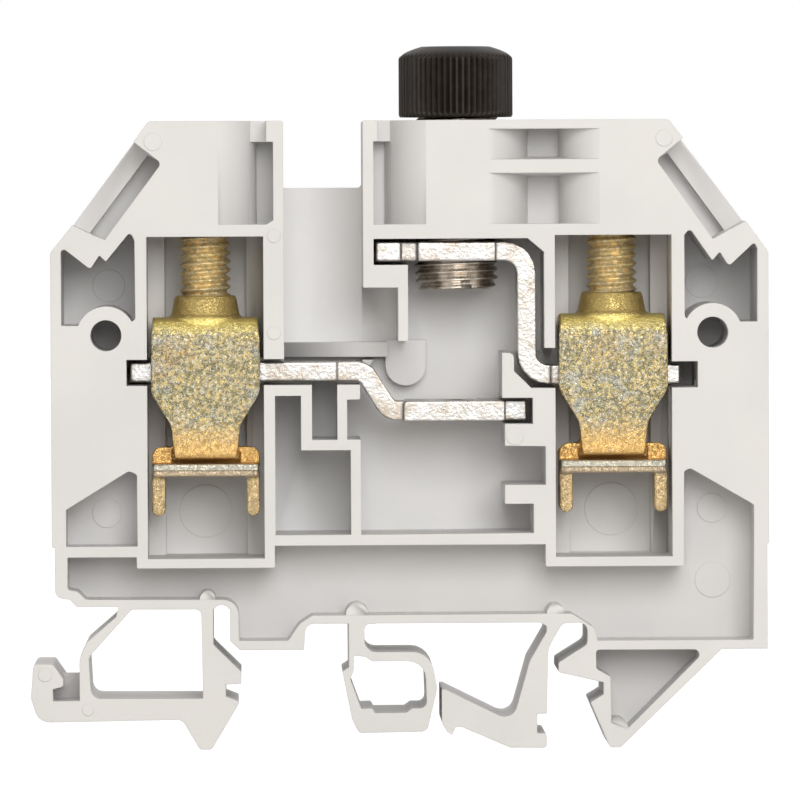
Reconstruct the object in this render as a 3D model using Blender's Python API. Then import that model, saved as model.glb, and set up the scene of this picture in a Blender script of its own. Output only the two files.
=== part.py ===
"""DIN rail fuse terminal block with two screw clamps and a screw-in fuse cap."""

import bpy
import bmesh
import math
from mathutils import Vector

MM = 0.001

# Block: x runs along the rail's width, y into the block from its open face, z up.
THICK = 12.0
FACE = -THICK / 2
BACK_WALL = 1.2
FLOOR = THICK - BACK_WALL
SHELF = 8.6
WEB_FRONT = 5.3
WEB_BACK = 6.7
LOW_RIB = 9.3
OPEN = -2.0
FIT = 0.3

# Clamps
CLAMP_LEFT_X = -18.16
CLAMP_RIGHT_X = 19.98
CLAMP_Y = 4.4
ROOM_TOP = 47.93
ROOM_LOW = 17.85
ROOM_SHELF = 1.6
TUBE_R = 4.85
TUBE_Y = 4.7
SHAFT_R = 3.25
HEAD_SEAT_Z = 49.3
SCREW_R = 2.2
SCREW_GAP = 0.4
HEAD_R = 2.85
HEAD_H = 3.1
HEAD_SLOT = 0.9
YOKE_SHEET = 1.2
YOKE_W = 10.2
YOKE_NECK = 5.7
YOKE_FRONT = 0.45
YOKE_BACK = 8.25
YOKE_TOP = 40.35
YOKE_HEIGHT = 13.65
YOKE_PLATE = YOKE_TOP - YOKE_HEIGHT
YOKE_LEG = 3.7
YOKE_RIGHT_LIFT = 0.18
COLLAR_H = 2.05
COLLAR_R = 2.95
COLLAR_FOOT_R = 3.2
ROOM_HALF = YOKE_W / 2 + 0.35

# Fuse cap
TOP = 58.73
FUSE_X = 5.46
FUSE_Y = 5.75
SLEEVE_R = 3.92
SLEEVE_WALL = 1.0
SLEEVE_BORE_R = SLEEVE_R - SLEEVE_WALL
SLEEVE_LOW = 42.85
TAP_GAP = 0.25
TAP_WALL = 0.55
FUSE_BORE_R = SLEEVE_R + 0.83
FUSE_TUBE_R = FUSE_BORE_R + 2.02
FUSE_TUBE_Y = 6.1
KNOB_R = 5.36
KNOB_H = 6.62
KNOB_LOW = TOP + FIT
KNOB_TOP = KNOB_LOW + KNOB_H
KNOB_RIBS = 58
KNOB_GROOVE = 0.24
SPRING_WIRE = 0.28
SPRING_R = SLEEVE_BORE_R - 0.36 - 2 * SPRING_WIRE

# Bars
BAR_T = 1.8
BAR_FRONT = 2.2
BAR_BACK = 6.55
BAR_LEFT_Z = 35.25
BAR_LOW_Z = 31.52
BAR_TOP_Z = 46.43
BAR_RIGHT_Z = 34.86
BAR_LEG_X = 11.92
BAR_PLAY = 0.32
BAR_SLOT = 10.0
TAP_FRONT = FUSE_Y - SLEEVE_R - TAP_GAP - TAP_WALL
TAP_BACK = FUSE_Y + SLEEVE_R + TAP_GAP + TAP_WALL
TAP_END = FUSE_X + SLEEVE_R + TAP_GAP + 0.4


def clear_scene():
    for old in list(bpy.data.objects):
        bpy.data.objects.remove(old, do_unlink=True)


def rounded(points):
    """Closed outline from corners (x, z) or (x, z, radius)."""
    count = len(points)
    line = []
    for i, corner in enumerate(points):
        here = Vector(corner[:2])
        radius = corner[2] if len(corner) > 2 else 0.0
        if radius <= 0.0:
            line.append(here)
            continue
        before = Vector(points[i - 1][:2]) - here
        after = Vector(points[(i + 1) % count][:2]) - here
        angle = before.angle(after)
        reach = radius / math.tan(angle / 2)
        reach = min(reach, 0.49 * before.length, 0.49 * after.length)
        radius = reach * math.tan(angle / 2)
        start = here + before.normalized() * reach
        end = here + after.normalized() * reach
        middle = here + (before.normalized() + after.normalized()).normalized() * (
            radius / math.sin(angle / 2)
        )
        a0 = math.atan2(start.y - middle.y, start.x - middle.x)
        a1 = math.atan2(end.y - middle.y, end.x - middle.x)
        turn = (a1 - a0 + math.pi) % (2 * math.pi) - math.pi
        steps = max(2, math.ceil(abs(turn) / math.radians(18)))
        for k in range(steps + 1):
            a = a0 + turn * k / steps
            line.append(middle + Vector((math.cos(a), math.sin(a))) * radius)
    return line


def circle(x, z, radius, steps=40):
    ring = []
    for k in range(steps):
        a = 2 * math.pi * k / steps
        ring.append(Vector((x + radius * math.cos(a), z + radius * math.sin(a))))
    return ring


def box_line(x0, x1, z0, z1):
    return [Vector((x0, z0)), Vector((x1, z0)), Vector((x1, z1)), Vector((x0, z1))]


def skin(name, rings, closed=False):
    """Closed body through rings of equal length; the end rings are capped unless it closes on itself."""
    mesh = bmesh.new()
    rows = [[mesh.verts.new(Vector(p) * MM) for p in ring] for ring in rings]
    count = len(rows[0])
    spans = len(rows) if closed else len(rows) - 1
    for i in range(spans):
        near, far = rows[i], rows[(i + 1) % len(rows)]
        for k in range(count):
            n = (k + 1) % count
            mesh.faces.new((near[k], near[n], far[n], far[k]))
    if not closed:
        mesh.faces.new(rows[0])
        mesh.faces.new(list(reversed(rows[-1])))
    bmesh.ops.recalc_face_normals(mesh, faces=mesh.faces)
    data = bpy.data.meshes.new(name)
    mesh.to_mesh(data)
    mesh.free()
    body = bpy.data.objects.new(name, data)
    bpy.context.collection.objects.link(body)
    return body


def prism(line, near, far, name="tool", far_line=None):
    """Outline in x and z carried from depth near to depth far, both measured from the open face."""
    front = [(p.x, FACE + near, p.y) for p in line]
    back = [(p.x, FACE + far, p.y) for p in (far_line or line)]
    return skin(name, [front, back])


def prism_x(line, x0, x1, name="tool"):
    """Outline of (depth, z) points carried along x."""
    return skin(name, [[(x, FACE + p.x, p.y) for p in line] for x in (x0, x1)])


def lathe(x, depth, profile, name="tool", steps=32):
    """Body of revolution about a vertical axis; profile of (radius, z) goes up."""
    rings = []
    for radius, z in profile:
        ring = []
        for k in range(steps):
            a = 2 * math.pi * k / steps
            ring.append((x + radius * math.cos(a), FACE + depth + radius * math.sin(a), z))
        rings.append(ring)
    return skin(name, rings)


def pipe(x, depth, outer, inner, name="tool", steps=40):
    """Tube about a vertical axis from two profiles of (radius, z) that go up."""
    loop = list(outer) + list(reversed(inner))
    rings = []
    for radius, z in loop:
        ring = []
        for k in range(steps):
            a = 2 * math.pi * k / steps
            ring.append((x + radius * math.cos(a), FACE + depth + radius * math.sin(a), z))
        rings.append(ring)
    return skin(name, rings, closed=True)


def operate(target, tools, operation):
    for tool in tools:
        step = target.modifiers.new("step", "BOOLEAN")
        step.operation = operation
        step.solver = "EXACT"
        step.object = tool
        bpy.context.view_layer.update()
        graph = bpy.context.evaluated_depsgraph_get()
        result = bpy.data.meshes.new_from_object(target.evaluated_get(graph))
        target.modifiers.clear()
        old = target.data
        target.data = result
        bpy.data.meshes.remove(old)
        bpy.data.objects.remove(tool, do_unlink=True)
    return target


def add(target, *tools):
    return operate(target, tools, "UNION")


def cut(target, *tools):
    return operate(target, tools, "DIFFERENCE")


def keep(target, *tools):
    return operate(target, tools, "INTERSECT")


def tidy(body):
    mesh = bmesh.new()
    mesh.from_mesh(body.data)
    bmesh.ops.remove_doubles(mesh, verts=mesh.verts, dist=0.002 * MM)
    bmesh.ops.dissolve_degenerate(mesh, edges=mesh.edges, dist=0.002 * MM)
    bmesh.ops.dissolve_limit(
        mesh, angle_limit=math.radians(0.2), verts=mesh.verts, edges=mesh.edges
    )
    bmesh.ops.triangulate(mesh, faces=mesh.faces)
    bmesh.ops.recalc_face_normals(mesh, faces=mesh.faces)
    mesh.to_mesh(body.data)
    mesh.free()
    return body


def strip_line(route, thick, bend):
    """Outline of a bent strip of even thickness along a route of (x, z) points."""
    way = [Vector(p) for p in route]
    half = thick / 2
    sides = []
    for side in (1, -1):
        edge = []
        for i, here in enumerate(way):
            if 0 < i < len(way) - 1:
                a = (here - way[i - 1]).normalized()
                b = (way[i + 1] - here).normalized()
                normal = (a.orthogonal() + b.orthogonal()).normalized()
                out = here + normal * (side * half / max(0.2, normal.dot(a.orthogonal())))
                cross = a.x * b.y - a.y * b.x
                radius = bend - half if cross * side > 0 else bend + half
                edge.append((out.x, out.y, max(0.15, radius)))
            else:
                other = way[1] if i == 0 else way[-2]
                a = (other - here).normalized() if i == 0 else (here - other).normalized()
                out = here + a.orthogonal() * side * half
                edge.append((out.x, out.y))
        sides.append(edge)
    return rounded(sides[0] + list(reversed(sides[1])))


def bar_slot(x0, x1, z, depth):
    """Slot with play above and below a bar that lies at height z."""
    half = BAR_T / 2 + BAR_PLAY
    return prism(box_line(x0, x1, z - half, z + half), OPEN, depth)


def material(body, colour, rough, metal):
    body.data.shade_smooth()
    body.data.set_sharp_from_angle(angle=math.radians(30))
    made = bpy.data.materials.new(body.name)
    made.use_nodes = True
    shader = made.node_tree.nodes["Principled BSDF"]
    shader.inputs["Base Color"].default_value = (*colour, 1.0)
    shader.inputs["Roughness"].default_value = rough
    shader.inputs["Metallic"].default_value = metal
    made.diffuse_color = (*colour, 1.0)
    body.data.materials.clear()
    body.data.materials.append(made)


def mirror_x(points, centre):
    turned = [(2 * centre - p[0],) + tuple(p[1:]) for p in points]
    return list(reversed(turned))


def block_body():
    """The block's own outline, without its feet."""
    outline = [
        (-32.58, 19.03), (-32.58, 46.5, 0.8), (-30.5, 49.07), (-23.35, TOP, 0.6),
        (-10.8, TOP, 0.25), (-10.8, 52.45), (-3.6, 52.45, 0.3), (-3.39, 52.7), (-3.39, TOP, 0.2),
        (25.2, TOP, 0.7), (32.4, 49.16, 0.2), (34.48, 46.3, 0.8), (34.48, 19.08), (34.3, 18.9),
        (34.3, 9.15, 0.1), (17.9, 9.15), (17.9, 11.73), (-8.93, 11.72, 0.85),
        (-9.08, 9.29, 0.1), (-15.05, 9.29), (-15.99, 10.17), (-15.99, 13.15), (-27.2, 13.4),
        (-30.25, 13.4, 0.3), (-30.95, 14.1, 0.3), (-32.3, 14.3, 0.8), (-32.3, 18.9),
    ]
    return prism(rounded(outline), 0.0, THICK, "housing")


def left_foot():
    """Moving hook foot for the narrow side of a G rail, with the spring window."""
    outline = [
        (-17.56, 13.6), (-26.35, 13.6), (-26.62, 12.45), (-29.35, 10.1, 0.8), (-30.06, 8.6, 0.8),
        (-30.06, 4.63), (-32.54, 4.6), (-32.59, 5.72), (-31.6, 5.98, 0.3), (-31.58, 6.65, 0.2),
        (-32.55, 8.05, 0.3), (-34.38, 8.06, 0.4), (-34.62, 4.9, 0.9), (-33.9, 2.62, 1.4),
        (-20.5, 2.81, 0.8), (-18.85, 0.0, 0.5), (-17.75, 0.0, 0.5), (-15.1, 4.45, 0.25),
        (-16.4, 4.95), (-16.43, 6.08), (-14.98, 6.16), (-14.95, 7.25, 0.15), (-17.45, 9.7, 0.5),
    ]
    window = [
        (-18.53, 4.76, 0.15), (-28.98, 4.81, 0.95), (-29.2, 8.7, 0.8), (-25.15, 13.15, 0.2),
        (-18.66, 13.13, 0.6),
    ]
    foot = prism(rounded(outline), 0.0, THICK)
    cut(foot, prism(rounded(window), -1.0, THICK + 1.0))
    web = prism(box_line(-33.0, -29.9, 4.3, 6.9), WEB_FRONT, WEB_BACK)
    return foot, web


def ring_foot():
    outline = [
        (-4.9, 12.2), (-4.88, 7.62), (-5.5, 7.22, 0.15), (-4.62, 2.75, 0.6), (-4.0, 1.47, 0.6),
        (2.4, 1.58, 0.7), (3.35, 5.6, 1.6), (2.75, 9.03, 3.0), (-3.42, 9.03, 1.1),
        (-3.42, 11.68, 0.9), (-2.3, 11.68), (-2.3, 12.2),
    ]
    hole = [
        (-4.45, 8.72, 0.2), (-3.35, 8.6, 0.3), (-2.7, 8.18, 0.2), (2.25, 8.18, 1.7),
        (2.4, 3.74, 1.6), (1.0, 3.74, 0.1), (0.45, 3.34, 0.1), (-2.5, 3.33, 0.1),
        (-2.7, 3.78, 0.3), (-3.75, 3.72, 0.2), (-4.77, 6.5, 0.3), (-4.42, 7.45),
    ]
    foot = prism(rounded(outline), 0.0, THICK)
    return cut(foot, prism(rounded(hole), -1.0, THICK + 1.0))


def arrow_foot():
    outline = [
        (12.7, 12.2), (12.95, 11.73), (13.65, 11.4, 0.3), (13.6, 10.8), (12.02, 8.1, 0.8),
        (10.4, 2.4, 1.2), (4.07, 5.52, 0.1), (3.78, 5.5, 0.1), (3.78, 2.4, 0.5), (4.2, 1.6),
        (4.72, 1.25), (5.05, 1.95), (5.6, 2.0), (10.15, 0.03, 0.2), (13.58, 0.0, 0.3),
        (13.58, 1.34, 0.25), (12.69, 1.34), (12.7, 3.18), (13.6, 3.2, 0.05), (13.75, 9.3, 2.2),
        (15.1, 11.66, 0.8), (16.0, 11.66), (16.0, 12.2),
    ]
    return prism(rounded(outline), 0.0, THICK)


def right_foot():
    outline = [
        (15.8, 12.2), (15.8, 11.69), (17.44, 11.69, 1.3), (17.44, 9.65, 0.7), (14.72, 7.95, 0.3),
        (14.7, 7.05, 0.2),
        (18.93, 6.08), (18.93, 4.96), (17.7, 4.22, 0.15), (19.5, 0.0, 0.4), (20.5, 0.0, 0.4),
        (29.96, 9.11), (29.96, 9.6), (18.6, 9.6), (17.9, 12.2),
    ]
    return prism(rounded(outline), 0.0, THICK)


def foot_pocket_line():
    return rounded([
        (18.22, 9.14, 0.35), (28.6, 9.12, 0.5), (21.05, 1.62), (19.64, 2.3), (19.58, 6.6, 0.1),
        (18.24, 7.35, 0.4),
    ])


def channel_line():
    """Long hollow over the rail; it runs round both clamp rooms."""
    return rounded([
        (-31.13, 18.03, 0.1), (-31.14, 15.0, 0.3), (-30.2, 14.85, 0.3), (-29.42, 14.08, 0.4),
        (-15.18, 14.0, 1.4), (-15.15, 10.16, 0.15), (-10.57, 10.14, 0.2), (-9.5, 11.7, 0.8),
        (-8.3, 12.48, 0.5), (15.97, 12.54, 0.8), (18.05, 11.2, 0.7), (18.39, 10.0, 0.1),
        (32.96, 10.0, 0.15), (33.05, 19.2), (33.06, 22.64, 0.3), (27.1, 26.1, 0.5),
        (26.53, 25.8, 0.3), (26.5, 16.95, 0.15), (13.56, 16.95, 0.15), (13.56, 19.03),
        (-11.75, 19.03), (-11.75, 16.97, 0.15), (-24.64, 16.97, 0.15), (-24.68, 18.03),
    ])


def hollow_back():
    """Hollows of the closed side, which keep the wall of the lower part even."""
    channel = [
        (-31.13, 18.0, 0.4), (-31.13, 15.0, 0.4), (-29.42, 14.1, 0.4), (-15.2, 14.1, 0.8),
        (-15.2, 10.2, 0.3), (-10.4, 10.2, 0.3), (-8.3, 12.5, 0.4), (16.0, 12.5, 0.8),
        (18.4, 10.1, 0.4), (32.96, 10.1, 0.4), (32.96, 16.6, 0.4), (13.2, 16.6, 0.4),
        (13.2, 18.6, 0.4), (-11.4, 18.6, 0.4), (-11.4, 16.6, 0.4), (-25.0, 16.6, 0.4),
        (-25.0, 18.0, 0.4),
    ]
    pocket = [(19.6, 8.6, 0.4), (27.2, 8.6, 0.4), (21.3, 2.9, 0.4), (19.9, 3.4, 0.3)]
    return [
        prism(rounded(channel), WEB_BACK, THICK + 1.0),
        prism(rounded(pocket), WEB_BACK, THICK + 1.0),
    ]


def left_pocket():
    """Hollow beside the left shoulder, bounded below by the plug boss."""
    hollow = rounded([
        (-31.6, 47.1, 0.3), (-28.86, 44.95, 0.25), (-28.0, 46.25, 0.15), (-27.4, 45.65, 0.1),
        (-25.1, 48.45, 0.55), (-24.72, 47.6), (-24.67, 40.3, 0.3), (-25.5, 39.66), (-31.58, 39.66),
    ])
    hollow = prism(hollow, OPEN, FLOOR)
    cut(hollow, prism(circle(-27.43, 38.72, 2.75), OPEN - 1.0, FLOOR + 1.0))
    return hollow


def right_pocket():
    hollow = rounded([
        (26.63, 47.9, 0.2), (27.15, 48.5, 0.3), (29.25, 45.5, 0.1), (29.95, 46.3, 0.1),
        (30.8, 44.95, 0.3), (33.2, 47.2, 0.3), (33.46, 46.6), (33.43, 39.77), (27.4, 39.77),
        (26.65, 40.2, 0.4),
    ])
    hollow = prism(hollow, OPEN, FLOOR)
    cut(hollow, prism(circle(29.26, 38.77, 2.75), OPEN - 1.0, FLOOR + 1.0))
    return hollow


def marker_slot(inner, crest, outer):
    """Marker slot along a sloping shoulder: an outer step and a deeper inner groove."""
    step = prism(rounded([inner[0]] + outer + [inner[1]]), OPEN, 5.4)
    groove = prism(rounded([inner[0]] + crest + [inner[1]]), OPEN, 7.2)
    return [step, groove]


def funnel(side, x_out, x_in):
    """Wire entry: an oval mouth that narrows to the clamp room."""
    rings = []
    mouth_z, mouth_h, mouth_w = 31.2, 6.3, 4.3
    hole_z, hole_h, hole_w = 31.0, 3.3, 2.9
    stations = ((x_out + 1.5 * side, 1.0), (x_out, 1.0), (x_in + 2.2 * side, 0.0), (x_in - 2.0 * side, 0.0))
    for x, wide in stations:
        ring = []
        for k in range(32):
            a = 2 * math.pi * k / 32
            z = hole_z + (mouth_z - hole_z) * wide
            h = hole_h + (mouth_h - hole_h) * wide
            w = hole_w + (mouth_w - hole_w) * wide
            y = FACE + 4.9 + 0.85 * wide + w * math.cos(a)
            ring.append((x, y, z + h * math.sin(a)))
        rings.append(ring)
    return skin("tool", rings)


def clamp_room(x):
    low = box_line(x - ROOM_HALF, x + ROOM_HALF, ROOM_LOW, ROOM_TOP)
    inner = x - ROOM_HALF + ROOM_SHELF, x + ROOM_HALF - ROOM_SHELF
    deep = box_line(inner[0], inner[1], ROOM_LOW + 0.02, ROOM_TOP - 0.02)
    return [prism(low, OPEN, SHELF), prism(deep, OPEN, FLOOR)]


def shaft(x):
    """Screwdriver shaft over a clamp screw, with the seat of its head."""
    return lathe(x, CLAMP_Y, [
        (SCREW_R + SCREW_GAP, ROOM_TOP - 2.0), (SCREW_R + SCREW_GAP, HEAD_SEAT_Z),
        (SHAFT_R, HEAD_SEAT_Z + 0.02), (SHAFT_R, TOP - 0.4), (SHAFT_R + 0.4, TOP),
        (SHAFT_R + 0.4, TOP + 1.0),
    ])


def tube(x, depth, radius):
    return lathe(x, depth, [(radius, 40.0), (radius, TOP + 3.0)], steps=72)


def upper_hollows():
    """Hollows beside the three upright tubes; each tube keeps its round side."""
    beside_left = prism(rounded([
        (-16.9, 56.76), (-11.75, 56.76), (-11.75, 49.45), (-12.4, 49.05), (-16.9, 49.05),
    ]), OPEN, WEB_FRONT)
    left_lip = prism(box_line(-16.9, -12.39, 56.5, 60.0), OPEN, 2.46)
    for tool in (beside_left, left_lip):
        cut(tool, tube(CLAMP_LEFT_X, TUBE_Y, TUBE_R))
    beside_fuse = prism(box_line(-2.38, FUSE_X, 49.0, 56.76), OPEN, WEB_FRONT)
    fuse_lip = prism(box_line(-2.0, FUSE_X, 56.5, 60.0), OPEN, 3.4)
    for tool in (beside_fuse, fuse_lip):
        cut(tool, tube(FUSE_X, FUSE_TUBE_Y, FUSE_TUBE_R))
    between = prism(box_line(FUSE_X, CLAMP_RIGHT_X, 49.0, 57.87), OPEN, WEB_FRONT)
    cut(between, tube(FUSE_X, FUSE_TUBE_Y, FUSE_TUBE_R), tube(CLAMP_RIGHT_X, TUBE_Y, TUBE_R))
    rib_face = box_line(FUSE_X - 1.0, CLAMP_RIGHT_X + 1.0, 53.9, 54.9)
    rib_root = box_line(FUSE_X - 1.0, CLAMP_RIGHT_X + 1.0, 53.4, 55.3)
    cut(between, prism(rib_face, OPEN - 0.5, WEB_FRONT + 0.5, far_line=rib_root))
    return [beside_left, left_lip, beside_fuse, fuse_lip, between]


def bay_hollows():
    """The full-depth rooms of the middle, between the two clamp rooms."""
    upper = prism(box_line(-10.8, -3.38, 36.0, 62.0), OPEN, FLOOR)
    under_block = prism(box_line(-3.6, -0.13, 36.2, 43.1), OPEN, FLOOR - 0.01)
    tap_low = BAR_TOP_Z - BAR_T / 2 - BAR_PLAY
    tap_high = BAR_TOP_Z + BAR_T / 2 + BAR_PLAY
    run_low = BAR_RIGHT_Z - BAR_T / 2 - BAR_PLAY
    leg_wall = BAR_LEG_X + BAR_T / 2 + 0.7
    cavity = prism(rounded([
        (0.8, 30.0), (0.8, tap_low), (-2.4, tap_low, 0.1), (-2.4, tap_high, 0.1), (12.0, tap_high),
        (leg_wall, tap_high - 1.28), (leg_wall, 36.97), (9.55, 36.97), (9.55, 30.0),
    ]), OPEN, TAP_BACK + FIT)
    passage = prism(rounded([
        (8.5, 36.95), (10.67, 36.95, 0.5), (10.67, run_low + 1.6), (12.3, run_low),
        (CLAMP_RIGHT_X - 4.0, run_low), (CLAMP_RIGHT_X - 4.0, 37.39), (13.3, 37.39), (13.3, 38.0),
        (8.5, 38.0),
    ]), OPEN, SHELF)
    bar_run = bar_slot(-13.4, 2.0, BAR_LEFT_Z, SHELF + 0.01)
    low_bar_low = BAR_LOW_Z - BAR_T / 2 - BAR_PLAY
    low_bar_high = BAR_LOW_Z + BAR_T / 2 + BAR_PLAY
    low_bay = prism(rounded([
        (-3.68, 20.02), (12.46, 20.1), (12.46, 22.83), (9.78, 22.83), (9.78, 24.61), (13.6, 24.6),
        (13.6, 28.2), (9.8, 28.26), (9.8, low_bar_low), (12.42, low_bar_low),
        (12.42, low_bar_high), (9.55, low_bar_high),
        (9.55, 38.1), (-1.0, 38.1), (-3.72, 34.17), (-3.72, 32.68), (-4.94, 32.64), (-4.94, 28.92),
        (-3.68, 28.92),
    ]), OPEN, FLOOR - 0.03)
    left_cell = prism(rounded([
        (-11.67, 20.02), (-4.62, 20.02), (-4.62, 27.93), (-9.26, 27.93), (-9.25, 33.03),
        (-11.67, 33.03),
    ]), OPEN, FLOOR)
    mid_cell = prism(box_line(-8.22, -5.86, 28.9, 34.2), OPEN, FLOOR - 0.04)
    return [upper, under_block, cavity, passage, bar_run, low_bay, left_cell, mid_cell]


def housing():
    body = block_body()
    foot, web = left_foot()
    add(body, foot, web, ring_foot(), arrow_foot(), right_foot())
    stem_gap = rounded([
        (-17.55, 9.85), (-17.56, 13.53, 0.78), (-15.98, 13.53, 0.78), (-15.98, 9.0), (-16.7, 9.0),
    ])
    cut(body, prism(stem_gap, -1.0, THICK + 1.0))
    cut(body, *hollow_back())
    cut(body, prism(channel_line(), OPEN, WEB_FRONT), prism(foot_pocket_line(), OPEN, WEB_FRONT + 0.1))
    bosses = ((-18.07, 14.05, 0.75), (-4.11, 12.55, 1.05), (14.47, 12.55, 0.85))
    for x, z, radius in bosses:
        add(body, prism(circle(x, z, radius, 24), 0.02, WEB_FRONT + 0.6))
    add(body, prism(circle(20.25, 1.68, 1.0, 24), 0.02, WEB_FRONT + 0.6))
    pocket = rounded([
        (-31.24, 19.03), (-31.24, 22.48, 0.1), (-25.35, 26.1, 0.5), (-24.6, 25.75, 0.3),
        (-24.58, 19.03),
    ])
    cut(body, prism(pocket, OPEN, WEB_FRONT + 0.02))
    cut(body, *upper_hollows())
    cut(body, left_pocket(), right_pocket())
    cut(body, *marker_slot(
        [(-22.15, 54.8, 0.45), (-27.48, 47.68)],
        [(-23.5, 55.56), (-28.95, 48.32)],
        [(-24.64, 56.72), (-26.2, 58.2), (-32.2, 50.6), (-30.52, 49.09), (-28.9, 48.26)],
    ))
    cut(body, *marker_slot(
        [(24.05, 54.9, 0.45), (29.31, 47.5)],
        [(25.35, 55.56), (30.66, 48.3)],
        [(26.32, 56.76), (27.7, 58.1), (34.0, 50.3), (32.38, 49.17), (30.7, 48.26)],
    ))
    cut(body, *bay_hollows())
    cut(body, *clamp_room(CLAMP_LEFT_X), *clamp_room(CLAMP_RIGHT_X))
    cut(body, bar_slot(-25.53, -23.0, BAR_LEFT_Z, BAR_SLOT))
    cut(body, bar_slot(25.0, 27.85, BAR_RIGHT_Z, BAR_SLOT))
    cut(body, funnel(-1, -32.58, -25.0), funnel(1, 34.48, 27.0))
    cut(body, shaft(CLAMP_LEFT_X), shaft(CLAMP_RIGHT_X))
    cut(body, lathe(FUSE_X, FUSE_Y, [
        (FUSE_BORE_R, 46.6), (FUSE_BORE_R, TOP - 0.3), (FUSE_BORE_R + 0.3, TOP), (FUSE_BORE_R + 0.3, 61.0),
    ]))
    for x, z in ((-27.43, 38.74), (29.26, 38.79)):
        cut(body, prism(circle(x, z, 1.45, 28), OPEN, BAR_SLOT))
    ledge_low = BAR_LEFT_Z + BAR_T / 2 + BAR_PLAY
    ledge = prism(box_line(-11.2, -1.0, ledge_low, ledge_low + 1.4), SHELF, FLOOR + 0.5)
    lug = prism(rounded([
        (-1.2, 38.02), (-1.2, 33.72, 1.9), (2.63, 33.72, 1.9), (2.63, 38.02),
    ]), LOW_RIB, FLOOR + 0.5)
    add(body, ledge, lug)
    return tidy(body)


def yoke(name, x):
    """Folded clamp yoke: front and back sheets, roof with drawn collar, and the pressing plate."""
    half = YOKE_W / 2
    neck = YOKE_NECK / 2
    under = YOKE_PLATE - YOKE_SHEET
    outer = [
        (YOKE_FRONT, YOKE_PLATE + 0.5, 0.5), (YOKE_FRONT, YOKE_TOP, 1.9), (YOKE_BACK, YOKE_TOP, 1.9),
        (YOKE_BACK, under, 1.6), (YOKE_FRONT + 0.15, under, 0.15), (YOKE_FRONT + 0.15, YOKE_PLATE, 0.15),
        (YOKE_BACK - YOKE_SHEET, YOKE_PLATE, 0.4), (YOKE_BACK - YOKE_SHEET, YOKE_TOP - YOKE_SHEET, 0.7),
        (YOKE_FRONT + YOKE_SHEET, YOKE_TOP - YOKE_SHEET, 0.7),
        (YOKE_FRONT + YOKE_SHEET, YOKE_PLATE + 2.2, 1.2), (YOKE_FRONT + 2.6, YOKE_PLATE + 0.5, 0.3),
        (YOKE_FRONT + 1.7, YOKE_PLATE + 0.35, 0.2),
    ]
    body = prism_x(rounded(outer), x - half, x + half, name)
    shape = [
        (x - half + 0.35, YOKE_TOP + 0.3), (x - half, YOKE_TOP - 1.75, 0.6),
        (x - half, YOKE_PLATE + 6.6, 1.2), (x - neck - 0.4, YOKE_PLATE + 3.6, 1.0),
        (x - neck, YOKE_PLATE + 0.3), (x - neck, under - 4.0),
    ]
    sheet = prism(rounded(shape + mirror_x(shape, x)), -1.0, 3.4)
    flare = [
        (x - half + 0.15, YOKE_TOP + 2.0), (x - half + 0.15, YOKE_PLATE + 6.6, 1.2),
        (x - neck, YOKE_PLATE + 3.9, 1.0), (x - neck, YOKE_PLATE + 1.6, 0.5),
        (x - half + 0.15, YOKE_PLATE + 0.9, 0.4), (x - half + 0.15, under - 4.0),
    ]
    rear = prism(rounded(flare + mirror_x(flare, x)), 3.2, YOKE_BACK + 2.0)
    lip = box_line(x - half + 0.18, x + half - 0.18, under - 4.0, YOKE_PLATE + 0.02)
    plate = prism(lip, -1.0, YOKE_BACK + 2.0)
    keep(body, add(sheet, rear, plate))
    for side in (-1, 1):
        outside = x + side * (half - 0.05)
        beside = x + side * (neck + 0.35)
        inside = x + side * (half - 1.3)
        ear = rounded([
            (beside, YOKE_PLATE - 0.3), (beside, YOKE_PLATE + 1.58, 0.1),
            (outside, YOKE_PLATE + 1.58, 1.55), (outside, YOKE_PLATE - 0.3),
        ])
        leg = rounded([
            (inside, under + 0.3), (inside, under - YOKE_LEG, 0.6),
            (outside, under - YOKE_LEG, 0.6), (outside, under + 0.3),
        ])
        add(body, prism(ear, 1.9, 3.1))
        add(body, prism(leg, 1.0, 5.6))
    roof = YOKE_TOP - YOKE_SHEET
    add(body, lathe(x, CLAMP_Y, [
        (COLLAR_FOOT_R + 0.3, roof - 0.2), (COLLAR_FOOT_R + 0.3, YOKE_TOP), (COLLAR_FOOT_R, YOKE_TOP + 0.3),
        (COLLAR_R, YOKE_TOP + COLLAR_H - 0.4), (COLLAR_R - 0.15, YOKE_TOP + COLLAR_H),
    ]))
    cut(body, lathe(x, CLAMP_Y, [
        (SCREW_R + FIT, roof - 3.0), (SCREW_R + FIT, YOKE_TOP + COLLAR_H + 1.5),
    ], steps=40))
    return tidy(body)


def clamp_screw(name, x, tip):
    seat = HEAD_SEAT_Z + 0.25
    body = lathe(x, CLAMP_Y, [
        (SCREW_R - 0.9, tip), (SCREW_R - 0.2, tip + 0.5), (SCREW_R, tip + 0.9), (SCREW_R, seat),
        (HEAD_R, seat + 0.02), (HEAD_R, seat + HEAD_H - 0.3), (HEAD_R - 0.3, seat + HEAD_H),
    ], name, steps=40)
    slot = box_line(x - HEAD_R - 1.0, x + HEAD_R + 1.0, seat + HEAD_H - 1.5, seat + HEAD_H + 1.0)
    cut(body, prism(slot, CLAMP_Y - HEAD_SLOT / 2, CLAMP_Y + HEAD_SLOT / 2))
    return tidy(body)


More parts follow.
